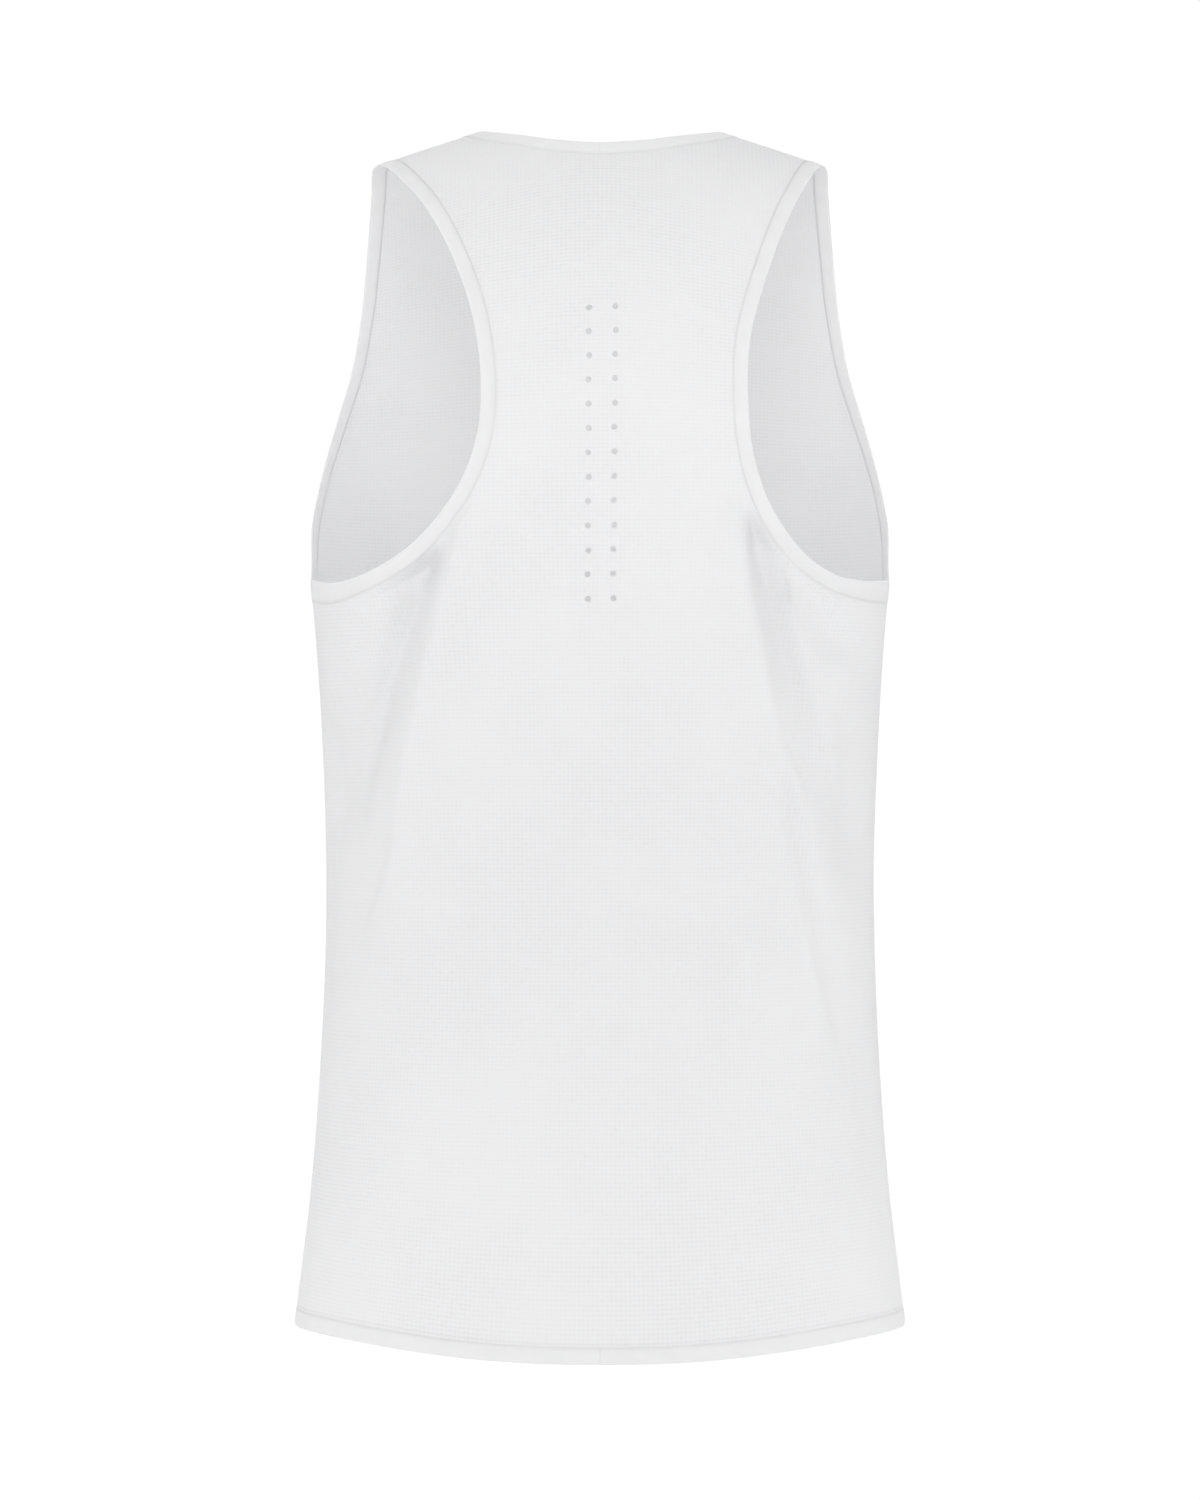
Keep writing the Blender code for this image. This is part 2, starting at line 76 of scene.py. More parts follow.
RIDGE_ROUNDING = 0.045
CROWN_HEIGHT = {face: CROWN_TOP - CROWN_BASE[face] for face in (BACK, FRONT)}
RIDGE_RISE = {face: CROWN_BASE[face] + CROWN_HEIGHT[face] * math.pi / 2 for face in (BACK, FRONT)}
SHOULDER_TIP = 0.131
ARMPIT = -0.2494
BACK_ARMHOLE = {
    LEFT: (
        (0.1652, -0.2502), (0.1600, -0.2520), (0.150, -0.2530), (0.131, -0.2475), (0.110, -0.2355),
        (0.091, -0.2170), (0.0765, -0.1945), (0.0685, -0.1700), (0.0667, -0.1440), (0.0717, -0.1043),
        (0.0828, -0.0715), (0.0964, -0.0445), (0.1148, -0.0207),
    ),
    RIGHT: (
        (0.1652, -0.2506), (0.1600, -0.2514), (0.150, -0.2520), (0.133, -0.2490), (0.119, -0.2410),
        (0.106, -0.2272), (0.0955, -0.2105), (0.0868, -0.1860), (0.0829, -0.1510), (0.0845, -0.1163),
        (0.0892, -0.0965), (0.0974, -0.0710), (0.1053, -0.0502), (0.1175, -0.0255),
    ),
}
FRONT_ARMHOLE = (
    (0.1686, -0.2380), (0.1692, -0.2245), (0.1669, -0.2010), (0.1620, -0.1770), (0.1555, -0.1520),
    (0.1485, -0.1274), (0.1420, -0.0920), (0.1381, -0.0580), (0.1346, -0.0268),
)
NECK_CORNER = 0.070
BACK_NECK = ((0.000, -0.0024), (0.024, -0.0006), (0.045, 0.0032), (0.062, 0.0068))
FRONT_NECK = ((0.000, -0.0740), (0.028, -0.0682), (0.050, -0.0512), (0.063, -0.0290), (0.069, -0.0085))
HEM_SIDE = -0.6794
HEM_DROP = {BACK: 0.0129, FRONT: 0.0070}
HEM_DROP_POWER = 4.5
# An armhole band widens from this share of the way round to the side, over this share, and this far down
BAND_WIDENS = (0.45, 0.35, 0.05)

# ---------------- the cloth's own sizes
PANEL_TOP = -0.30 * MM          # outer surface of the panels, against the form
PANEL_UNDER = -0.74 * MM        # their inner surface
TUCK = 0.92                     # share of a band's width at which the panel's edge lies inside it
PANEL_STEPS = {"side": 100, "armhole": 100, "shoulder": 36, "neck": 160}
GRID_BEND = 0.45                # share of a panel's rows that bend to its top line, and as many to its hem
GRID_EASE = (0.70, 0.85, 500)   # shares of the rows from which, and by which, its grid is evened; rounds
FOLD_ZONE = (1.3, 0.62, 0.22)   # closer columns: how many more, and where and how wide, as shares of the half
RING_STEPS = {"armhole": 170, "neck": 150, "hem": 220}
EDGE_CUTS = 1600                # fine steps from which an edge's even steps are taken
NEAR_STEPS = 150                # points of an armhole's edge from which distances to it are taken
SEAM_DIP = 0.55 * MM            # how far the cloth is drawn in along the side and shoulder seams

# Section of a folded binding: share of its width from the opening's edge, and height in mm against the form.
BINDING = (
    (1.000, -0.325), (0.985, -0.255), (0.960, -0.170), (0.915, -0.075), (0.830, 0.015), (0.550, 0.06),
    (0.280, 0.05), (0.120, -0.02), (0.045, -0.14), (0.008, -0.34), (0.000, -0.54), (0.008, -0.74),
    (0.045, -0.94), (0.120, -1.04), (0.280, -1.06), (0.600, -1.04), (0.900, -0.94), (0.985, -0.85),
    (1.000, -0.79), (0.970, -0.76), (0.900, -0.76), (0.880, -0.52), (0.900, -0.28), (0.970, -0.29),
)

# Folds seen on a face, in mm: points of the fold's line (distance from the centre line, positive on the
# wearer's left, and height), its breadth towards the centre line and away from it, and its height (negative
# for a trough). Then the shares of its length in which it comes up and dies out.
FOLD_COLUMNS = ("line", "inner", "outer", "height", "run_in", "run_out")
FOLDS = {
    BACK: (
        (((86.5, -228.4), (96.2, -240), (109.5, -262), (123.5, -294), (137.5, -329), (148.5, -362),
          (154.5, -400), (157.5, -440)), 16.5, 18, -14, 0.1, 0.45),
        (((116, -290), (130, -330), (142, -370), (150, -410), (155, -460)), 16, 26, -4.5, 0.35, 0.45),
        (((72.6, -196), (82.7, -245), (92.5, -287), (101.5, -328), (109, -370.5), (116.5, -421),
          (129.1, -470)), 18, 9, 6.4, 0.14, 0.35),
        (((114.6, -256), (125, -280), (136.5, -313.5), (149, -341)), 6, 9, 3.6, 0.16, 0.4),
        (((112, -388), (124.4, -413.6), (137, -442), (147, -480)), 4.5, 13, -2.2, 0.25, 0.5),
        (((136, -385), (145, -425), (151, -470), (154, -520)), 22, 16, -4, 0.35, 0.5),
        (((-77, -200.6), (-80.5, -243.5), (-87.3, -292), (-94.3, -332), (-102.5, -362), (-112, -398)), 18,
          8.5, 6.4, 0.14, 0.3),
        (((-84, -209), (-91.8, -242), (-101, -272.5), (-110.8, -301), (-121.2, -329), (-132.5, -362)), 12.5,
          13, -11.5, 0.15, 0.45),
        (((-101.4, -237), (-110.6, -275.6), (-118.8, -306.3), (-127.7, -337), (-141, -385)), 5.5, 7, 4.6,
          0.14, 0.35),
        (((-108.5, -247), (-123, -270), (-139, -292), (-154, -308)), 11, 13, -6.5, 0.34, 0.45),
        (((-130.8, -256.7), (-142.7, -274.4), (-152.6, -291)), 5, 6, 1.8, 0.25, 0.4),
        (((-93.5, -328), (-101.2, -356), (-111, -396.5), (-126.2, -461), (-142, -524), (-151.6, -558.3)), 5,
          8, -4, 0.34, 0.35),
        (((-101.7, -339.6), (-113.9, -387.5), (-129.7, -450), (-145.7, -513)), 6.5, 12, 3.8, 0.2, 0.45),
        (((-134.5, -352), (-146.5, -398), (-154.5, -450)), 16, 12, -5.2, 0.25, 0.4),
        (((42, -451.1), (0, -453.2), (-50.4, -450.5)), 5, 5, -0.5, 0.35, 0.35),
        (((115, -425), (117, -484), (113, -560)), 13, 13, -2, 0.4, 0.45),
        (((60, -396), (63, -488), (55, -605)), 15, 15, -1.7, 0.35, 0.4),
        (((-94, -385), (-100, -461), (-113, -545)), 13, 13, -1.9, 0.35, 0.4),
        (((82, -400), (83, -488), (79, -590)), 13, 13, 1.5, 0.35, 0.4),
        (((-72, -395), (-79, -488), (-81, -585)), 15, 15, 1.5, 0.35, 0.4),
        (((98, -545), (102, -600), (100, -655)), 18, 20, 1.5, 0.45, 0.3),
        (((-30, -470), (-34, -540), (-28, -630)), 18, 18, -1.2, 0.4, 0.4),
        (((20, -330), (26, -420), (18, -520)), 22, 22, 1, 0.4, 0.4),
        (((-125, -560), (-131, -610), (-128, -660)), 15, 15, -1.4, 0.45, 0.3),
    ),
    FRONT: (
        (((146, -236), (130, -270), (118, -320), (116, -390)), 7, 12, -4.6, 0.08, 0.6),
        (((132, -232), (114, -275), (104, -330), (103, -410)), 12, 7, 2.4, 0.22, 0.45),
        (((152, -262), (144, -300), (142, -350)), 7, 8, 1.8, 0.2, 0.4),
        (((-148, -240), (-134, -268), (-124, -315), (-126, -400)), 7, 12, -4.2, 0.08, 0.6),
        (((-134, -238), (-119, -278), (-110, -335), (-112, -425)), 12, 7, 2.3, 0.22, 0.45),
        (((-138, -330), (-140, -400), (-148, -480)), 6, 9, -1.8, 0.3, 0.4),
        (((132, -350), (134, -420), (142, -490)), 6, 10, -1.6, 0.3, 0.4),
        (((140, -130), (120, -165), (102, -215)), 8, 10, -1.5, 0.15, 0.6),
        (((-142, -140), (-123, -176), (-100, -230)), 8, 10, -1.7, 0.15, 0.6),
        (((60, -75), (64, -130), (60, -200)), 11, 13, -1, 0.3, 0.5),
        (((-62, -80), (-68, -135), (-62, -210)), 11, 13, -1.1, 0.3, 0.5),
        (((52, -385), (58, -490), (50, -620)), 16, 16, -1.9, 0.35, 0.4),
        (((78, -400), (82, -500), (76, -600)), 14, 14, 1.4, 0.35, 0.4),
        (((-68, -400), (-62, -510), (-70, -630)), 16, 16, -1.8, 0.35, 0.4),
        (((-92, -410), (-90, -500), (-96, -600)), 14, 14, 1.3, 0.35, 0.4),
        (((-6, -360), (4, -480), (-8, -610)), 20, 20, 1.5, 0.35, 0.4),
        (((112, -560), (116, -610), (112, -660)), 16, 16, -1.4, 0.45, 0.3),
        (((-114, -550), (-120, -605), (-116, -655)), 16, 16, -1.3, 0.45, 0.3),
    ),
}
FOLD_STEPS = 47                 # straight steps in which a fold's line is followed
FOLD_TAPER = (0.42, 0.35)       # share of its breadth that a fold starts with, and of its length to the whole
FOLD_LEAST = 3.8 * MM           # no fold is narrower than this
FOLD_FADE = 0.030               # folds come up over this distance from the side and shoulder seams
BAND_HOLD = (-0.6 * MM, 5.0 * MM)   # and between these distances past an armhole band's edge
BAND_SHARE = 0.30               # share of a fold that is left in the taut band
SWELLS = (                      # slow unevenness of the cloth: waves per metre across and up, phase, height
    (3.1, 1.7, 0.4, 0.25 * MM),
    (7.3, 1.9, 2.1, 0.15 * MM),
    (13.7, 2.3, 4.0, 0.08 * MM),
)

# Perforations between the shoulder blades: two lines down the back
HOLE_COUNT = 13
HOLE_RADIUS = 1.75 * MM
HOLE_LINES = (
    ((0.0061, -0.1007), (0.0068, -0.2638)),
    ((-0.0088, -0.1001), (-0.0073, -0.2633)),
)
HOLE_WANDER = (0.25 * MM, 0.10 * MM)    # how far a hole is off its straight line, across and up
HOLE_TURNS = (2.4, 1.7)         # how that changes from hole to hole, and from line to line
FIRST_HOLE = (1.18, 0.86, -0.30)    # its sizes across and up, as shares of the radius, and its tilt
HOLE_MARGIN = 0.80 * MM

MAP_LEVEL = -0.45               # the cloth map's lengths across are taken along the form at this height
MAP_SPAN = {"across": 1.05 * SIDE, "low": -0.72, "past_ridge": 0.02}
MAP_STEPS = {"across": 600, "up": 800}
MAP_HEM = 0.15                  # the map's rows follow the hem's dip this far up from it

# Stitches on the neck band: the lines that they start, run and end on (share of the band's width, and
# height), their pitch and the shares of it where a chain stitch starts and ends, their lift and thickness
STITCH_LINES = ((0.95, 0.05 * MM), (1.03, PANEL_TOP), (1.16, PANEL_TOP))
STITCH_PITCH = 2.3 * MM
CHAIN_ENDS = (0.06, 0.94)
CHAIN_LIFT, CHAIN_RADIUS = 0.10 * MM, 0.17 * MM
CROSS_LIFT, CROSS_RADIUS = 0.16 * MM, 0.13 * MM
STITCH_SHARES = (0.0, 0.06, 0.25, 0.5, 0.75, 0.94, 1.0)
STITCH_GIRTHS = (0.05, 0.75, 1.0, 1.05, 1.0, 0.75, 0.05)
STITCH_SIDES = 6


# ---------------- form
def column(name):
    """One named column of the table of sections."""
    return np.array([row[SECTION_COLUMNS.index(name)] for row in SECTIONS])


def smooth_line(stations, values, at):
    """Smooth curve through the values at rising stations (cubic Hermite)."""
    stations = np.asarray(stations, float)
    values = np.asarray(values, float)
    slopes = np.gradient(values, stations, axis=0)
    at = np.clip(at, stations[0], stations[-1])
    left = np.clip(np.searchsorted(stations, at) - 1, 0, len(stations) - 2)
    span = stations[left + 1] - stations[left]
    share = (at - stations[left]) / span
    if values.ndim > 1:
        span = span[:, None]
        share = share[:, None]
    rising = share * share * (3 - 2 * share)
    lead = share * (1 - share) ** 2
    trail = -share * share * (1 - share)
    return (values[left] * (1 - rising) + values[left + 1] * rising
            + span * (slopes[left] * lead + slopes[left + 1] * trail))


def smooth_step(share):
    share = np.clip(share, 0, 1)
    return share * share * (3 - 2 * share)


def run_length(points):
    """Length of a line up to each of its points."""
    return np.concatenate([[0], np.cumsum(np.linalg.norm(np.diff(points, axis=0), axis=1))])


def ring(angle, squareness):
    """Unit superellipse: how far across and along it a ray at this angle meets it."""
    across = np.sin(angle)
    along = np.cos(angle)
    reach = (np.abs(across) ** squareness + np.abs(along) ** squareness) ** (-1 / squareness)
    return across * reach, along * reach


def ridge_height(x):
    """Height of the shoulder ridge at a distance from the centre line."""
    return RIDGE_PEAK - RIDGE_SLOPE * np.sqrt(x * x + RIDGE_ROUNDING ** 2)


def form(face, around, rise):
    """Points of the bare form."""
    around = np.asarray(around, float)
    rise = np.asarray(rise, float)
    base = CROWN_BASE[face]
    level = np.minimum(rise, base)
    lift = (rise - level) / CROWN_HEIGHT[face]
    up, out = ring(lift, CROWN_SQUARENESS[face])
    across, along = ring(around / GIRTH_RADIUS, GIRTH_SQUARENESS)
    heights = column("height")
    half_width = smooth_line(heights, column("half_width"), level)
    depth = smooth_line(heights, column("back_depth" if face == BACK else "front_depth"), level)
    x = half_width * across
    y = face * depth * along * out
    z = level + (ridge_height(x) - base) * up
    return np.stack([x, y, z], axis=-1)


def slopes_of_form(face, around, rise):
    """How the form runs with "around" and with "rise"."""
    step = 0.1 * MM
    run_around = (form(face, around + step, rise) - form(face, around - step, rise)) / (2 * step)
    run_rise = (form(face, around, rise + step) - form(face, around, rise - step)) / (2 * step)
    return run_around, run_rise


def outward(face, around, rise):
    """Unit normals of the form, pointing away from the wearer."""
    run_around, run_rise = slopes_of_form(face, around, rise)
    normal = np.cross(run_rise, run_around) * face
    return normal / np.linalg.norm(normal, axis=-1, keepdims=True)


def place(face, x, z):
    """The place on the form, as around and rise, of the point seen on a face at x and z."""
    base = CROWN_BASE[face]
    half_width = smooth_line(column("height"), column("half_width"), np.array([min(z, base)]))[0]
    across = min(abs(x) / half_width, 1.0)
    along = (1 - across ** GIRTH_SQUARENESS) ** (1 / GIRTH_SQUARENESS)
    around = math.copysign(GIRTH_RADIUS * math.atan2(across, along), x)
    if z <= base:
        return around, z
    power = CROWN_SQUARENESS[face]
    up = min((z - base) / (ridge_height(x) - base), 1.0)
    lift = math.atan2(up, (1 - up ** power) ** (1 / power))
    return around, base + CROWN_HEIGHT[face] * lift


def walk(face, chart, heading, distance):
    """Places on the form that lie a distance from the given ones, along headings in space."""
    run_around, run_rise = slopes_of_form(face, *chart.T)
    step = heading * distance[:, None]
    aa = (run_around * run_around).sum(1)
    ar = (run_around * run_rise).sum(1)
    rr = (run_rise * run_rise).sum(1)
    a = (run_around * step).sum(1)
    r = (run_rise * step).sum(1)
    area = aa * rr - ar * ar
    return chart + np.stack([(a * rr - r * ar) / area, (r * aa - a * ar) / area], axis=1)


def even_run(face, points, before, after, steps):
    """Smooth line on the form through the given places, cut into even steps."""
    points = np.array([before, *points, after])
    stations = run_length(points)
    fine = smooth_line(stations, points, np.linspace(stations[1], stations[-2], EDGE_CUTS))
    lengths = run_length(form(face, *fine.T))
    cuts = np.linspace(0, lengths[-1], steps + 1)
    return np.stack([np.interp(cuts, lengths, fine[:, axis]) for axis in (0, 1)], axis=1)


def over_ridge(face, other, place_on_other):
    """A place just past the shoulder ridge, in the lengths of the face it is seen from."""
    around, rise = place_on_other
    return around, RIDGE_RISE[face] + (RIDGE_RISE[other] - rise)


def past_side(side, place_on_other):
    """A place just past the side seam, in the lengths of the face it is seen from."""
    around, rise = place_on_other
    return side * 2 * SIDE - around, rise


# ---------------- openings
def armhole_edge(face, side, steps):
    """Cloth edge of one armhole on one face, from the side seam up to the shoulder."""
    rows = {BACK: BACK_ARMHOLE[side], FRONT: FRONT_ARMHOLE}
    seen = {each: [place(each, side * x, z) for x, z in rows[each]] for each in rows}
    tip_around = place(face, side * SHOULDER_TIP, CROWN_BASE[face])[0]
    points = [(side * SIDE, ARMPIT), *seen[face], (tip_around, RIDGE_RISE[face])]
    before = past_side(side, seen[-face][0])
    after = over_ridge(face, -face, seen[-face][-1])
    return even_run(face, points, before, after, steps)


def neck_edge(face, steps):
    """Cloth edge of the neck on one face, from the right shoulder to the left."""
    rows = {BACK: BACK_NECK, FRONT: FRONT_NECK}
    seen = {each: [place(each, x, z) for x, z in rows[each]] for each in rows}
    corner = (place(face, NECK_CORNER, CROWN_BASE[face])[0], RIDGE_RISE[face])
    half = [*seen[face][1:], corner]
    mirrored = [(-around, rise) for around, rise in reversed(half)]
    after = over_ridge(face, -face, seen[-face][-1])
    before = (-after[0], after[1])
    return even_run(face, [*mirrored, seen[face][0], *half], before, after, steps)


def hem_edge(face, around):
    """Cloth edge of the hem on one face, at the given lengths from the centre line."""
    along = ring(around / GIRTH_RADIUS, GIRTH_SQUARENESS)[1]
    return np.stack([around, HEM_SIDE - HEM_DROP[face] * np.abs(along) ** HEM_DROP_POWER], axis=1)


def away_from_opening(face, chart, turn, mates):
    """Unit headings on the cloth, square to an opening's edge and away from the opening."""
    points = form(face, *chart.T)
    ahead = np.vstack([points[1:], mates[1]])
    behind = np.vstack([mates[0], points[:-1]])
    heading = np.cross(ahead - behind, outward(face, *chart.T)) * turn
    return heading / np.linalg.norm(heading, axis=1, keepdims=True)


def arm_band_width(chart):
    """Width of an armhole band, wider under the arm."""
    start, run, depth = BAND_WIDENS
    near_side = np.clip((np.abs(chart[:, 0]) / SIDE - start) / run, 0, 1)
    under = np.clip((CROWN_BASE[BACK] - chart[:, 1]) / depth, 0, 1)
    return ARM_BAND_EDGE + (ARM_BAND_UNDER - ARM_BAND_EDGE) * smooth_step(near_side * under)


def moved_lines(edges, turn, width, share, side=None):
    """An opening's edge on both faces, moved into the cloth by a share of the band's width."""
    spots = {face: form(face, *chart.T) for face, chart in edges.items()}
    moved = {}
    for face, chart in edges.items():
        mates = (spots[-face][1], spots[-face][-2])
        heading = away_from_opening(face, chart, turn * face, mates)
        line = walk(face, chart, heading, width(chart) * share)
        line[-1, 1] = RIDGE_RISE[face]
        if side is None:
            line[0, 1] = RIDGE_RISE[face]
        else:
            line[0, 0] = side * SIDE
        moved[face] = line
    return moved


def arm_lines(side, share, steps):
    edges = {face: armhole_edge(face, side, steps) for face in (BACK, FRONT)}
    return moved_lines(edges, side, arm_band_width, share, side)


def neck_lines(share, steps):
    edges = {face: neck_edge(face, steps) for face in (BACK, FRONT)}
    return moved_lines(edges, -1, lambda chart: np.full(len(chart), NECK_BAND), share)


def hem_lines(share, steps):
    edges = {face: hem_edge(face, np.linspace(-SIDE, SIDE, steps + 1)) for face in (BACK, FRONT)}
    return {face: edges[face] + np.array([0.0, HEM_BAND * share]) for face in edges}


# ---------------- cloth on the form
ARM_EDGES = {face: np.vstack([armhole_edge(face, side, NEAR_STEPS) for side in (LEFT, RIGHT)])
             for face in (BACK, FRONT)}


def hold_near_armholes(face, points):
    """1 on the open cloth, falling to BAND_SHARE in the taut armhole bands."""
    flat = points.reshape(-1, 3)
    edge = ARM_EDGES[face]
    nearest = np.full(len(flat), 1.0)
    width = np.zeros(len(flat))
    for spot, band in zip(form(face, *edge.T), arm_band_width(edge)):
        away = ((flat - spot) ** 2).sum(1)
        closer = away < nearest
        nearest[closer] = away[closer]
        width[closer] = band
    past = np.sqrt(nearest) - width
    grown = smooth_step((past - BAND_HOLD[0]) / (BAND_HOLD[1] - BAND_HOLD[0]))
    return (BAND_SHARE + (1 - BAND_SHARE) * grown).reshape(points.shape[:-1])


def fold_shape(seen, row):
    """Height of one fold at points seen on its face."""
    fold = dict(zip(FOLD_COLUMNS, row))
    line = np.array(fold["line"]) * MM
    stations = run_length(line)
    line = smooth_line(stations, line, np.linspace(0, stations[-1], FOLD_STEPS + 1))
    reach = 3 * max(fold["inner"], fold["outer"]) * MM
    low = line.min(0) - reach
    high = line.max(0) + reach
    chosen = np.flatnonzero(((seen > low) & (seen < high)).all(1))
    near = seen[chosen]
    best = np.full(len(near), np.inf)
    along = np.zeros(len(near))
    line_x = np.zeros(len(near))
    for step in range(FOLD_STEPS):
        start = line[step]
        run = line[step + 1] - start
        share = np.clip(((near - start) @ run) / (run @ run), 0, 1)
        foot = start + share[:, None] * run
        away = ((near - foot) ** 2).sum(1)
        closer = away < best
        best = np.where(closer, away, best)
        along = np.where(closer, (step + share) / FOLD_STEPS, along)
        line_x = np.where(closer, foot[:, 0], line_x)
    widen = FOLD_TAPER[0] + (1 - FOLD_TAPER[0]) * smooth_step(along / FOLD_TAPER[1])
    breadth = np.where(np.abs(near[:, 0]) < np.abs(line_x), fold["inner"], fold["outer"]) * MM * widen
    breadth = np.maximum(breadth, FOLD_LEAST)
    strength = smooth_step(along / fold["run_in"]) * smooth_step((1 - along) / fold["run_out"])
    result = np.zeros(len(seen))
    result[chosen] = fold["height"] * MM * np.exp(-best / breadth ** 2) * strength
    return result


def fold_height(face, points):
    """How far the folds and slow swells move the cloth out of the form."""
    seen = points[..., [0, 2]].reshape(-1, 2)
    moved = np.zeros(len(seen))
    for row in FOLDS[face]:
        moved += fold_shape(seen, row)
    turns = 2 * math.pi * seen
    for across, up, phase, height in SWELLS:
        moved += height * np.sin(across * turns[:, 0] + phase) * np.sin(up * turns[:, 1] + 2 * phase)
    fade = np.clip(np.abs(points[..., 1]).reshape(-1) / FOLD_FADE, 0, 1)
    moved = (moved * smooth_step(fade)).reshape(points.shape[:-1])
    return moved * hold_near_armholes(face, points)


def skin(face, around, rise):
    """Points of the folded cloth's face, and the form's normals there."""
    bare = form(face, around, rise)
    normal = outward(face, around, rise)
    return bare + normal * fold_height(face, bare)[..., None], normal


def cloth_map(face, around, rise):
    """Lengths along the cloth's threads: across from the centre line, and up."""
    fine = np.linspace(-MAP_SPAN["across"], MAP_SPAN["across"], MAP_STEPS["across"] + 1)
    across = run_length(form(face, fine, np.full_like(fine, MAP_LEVEL)))
    across -= across[MAP_STEPS["across"] // 2]
    climb = np.linspace(MAP_SPAN["low"], RIDGE_RISE[face] + MAP_SPAN["past_ridge"], MAP_STEPS["up"] + 1)
    up = run_length(form(face, np.zeros_like(climb), climb))
    up += CROWN_BASE[face] - np.interp(CROWN_BASE[face], climb, up)
    drop = HEM_SIDE - hem_edge(face, around.reshape(-1))[:, 1].reshape(around.shape)
    near_hem = np.clip(1 - (rise - HEM_SIDE) / MAP_HEM, 0, 1) ** 2
    return np.interp(around, fine, across), np.interp(rise, climb, up) + drop * near_hem


# ---------------- meshes
def link(made):
    bpy.context.scene.collection.objects.link(made)


def add_object(name, points, faces, finish, cloth=None, sharp=40):
    """One mesh object, with the cloth map where it is given for each point."""
    mesh = bpy.data.meshes.new(name)
    mesh.from_pydata(points.tolist(), [], faces)
    mesh.materials.append(finish)
    mesh.shade_smooth()
    mesh.set_sharp_from_angle(angle=math.radians(sharp))
    if cloth is not None:
        corners = np.empty(len(mesh.loops), int)
        mesh.loops.foreach_get("vertex_index", corners)
        layer = mesh.uv_layers.new(name="cloth")
        layer.data.foreach_set("uv", cloth[corners].astype(np.float32).ravel())
    made = bpy.data.objects.new(name, mesh)
    link(made)
    return made


def panel_grid(face):
    """Places of a panel's grid, rows from the hem up and columns from right to left."""
    ends = {RIGHT: 0, LEFT: -1}
    lines = {side: arm_lines(side, TUCK, PANEL_STEPS["armhole"])[face] for side in ends}
    neck = neck_lines(TUCK, PANEL_STEPS["neck"])[face]
    shoulder = {side: np.linspace(lines[side][-1], neck[ends[side]], PANEL_STEPS["shoulder"] + 1)
                for side in ends}
    top = np.vstack([shoulder[RIGHT][:-1], neck, shoulder[LEFT][::-1][1:]])
    columns = len(top)
    share = np.linspace(0, 1, columns)
    crowding = 1 + FOLD_ZONE[0] * np.exp(-((np.abs(2 * share - 1) - FOLD_ZONE[1]) / FOLD_ZONE[2]) ** 2)
    spans = 1 / ((crowding[1:] + crowding[:-1]) / 2)
    share = np.concatenate([[0], np.cumsum(spans)]) / spans.sum()
    centre_share = np.abs(2 * share - 1)

    bottom = hem_edge(face, (2 * share - 1) * SIDE)
    bottom[:, 1] += HEM_BAND * TUCK
    edges = {}
    for side in ends:
        seam_line = np.linspace(bottom[ends[side]], lines[side][0], PANEL_STEPS["side"] + 1)
        edges[side] = np.vstack([seam_line[:-1], lines[side]])
    rows = len(edges[LEFT])
    climb = np.linspace(0, 1, rows)
    middle = columns // 2
    centre_rise = bottom[middle, 1] + (top[middle, 1] - bottom[middle, 1]) * climb

    around = edges[RIGHT][:, 0:1] * (1 - share) + edges[LEFT][:, 0:1] * share
    edge_rise = edges[RIGHT][:, 1:2] * (1 - share) + edges[LEFT][:, 1:2] * share
    rise = centre_rise[:, None] + (edge_rise - centre_rise[:, None]) * centre_share ** 2
    near_top = (np.clip(1 - (1 - climb) / GRID_BEND, 0, 1) ** 2)[:, None]
    near_hem = (np.clip(1 - climb / GRID_BEND, 0, 1) ** 2)[:, None]
    around = around + near_top * (top[:, 0] - around[-1]) + near_hem * (bottom[:, 0] - around[0])
    rise = rise + near_top * (top[:, 1] - rise[-1]) + near_hem * (bottom[:, 1] - rise[0])
    start, whole, rounds = GRID_EASE
    ease = smooth_step((climb[1:-1, None] - start) / (whole - start))
    for _ in range(rounds):
        for values in (around, rise):
            between = (values[:-2, 1:-1] + values[2:, 1:-1] + values[1:-1, :-2] + values[1:-1, 2:]) / 4
            values[1:-1, 1:-1] += ease * (between - values[1:-1, 1:-1])
    return around, rise


def hole_outlines():
    """Centre, size and tilt of every perforation: all round but the first, which is drawn a little wide."""
    holes = []
    for line, (start, end) in enumerate(HOLE_LINES):
        for row in range(HOLE_COUNT):
            share = row / (HOLE_COUNT - 1)
            wander = math.sin(HOLE_TURNS[0] * row + HOLE_TURNS[1] * line)
            x, z = (low + (high - low) * share + wander * most
                    for low, high, most in zip(start, end, HOLE_WANDER))
            across, up, tilt = FIRST_HOLE if row == line == 0 else (1.0, 1.0, 0.0)
            holes.append((place(BACK, x, z), across * HOLE_RADIUS, up * HOLE_RADIUS, tilt))
    return holes


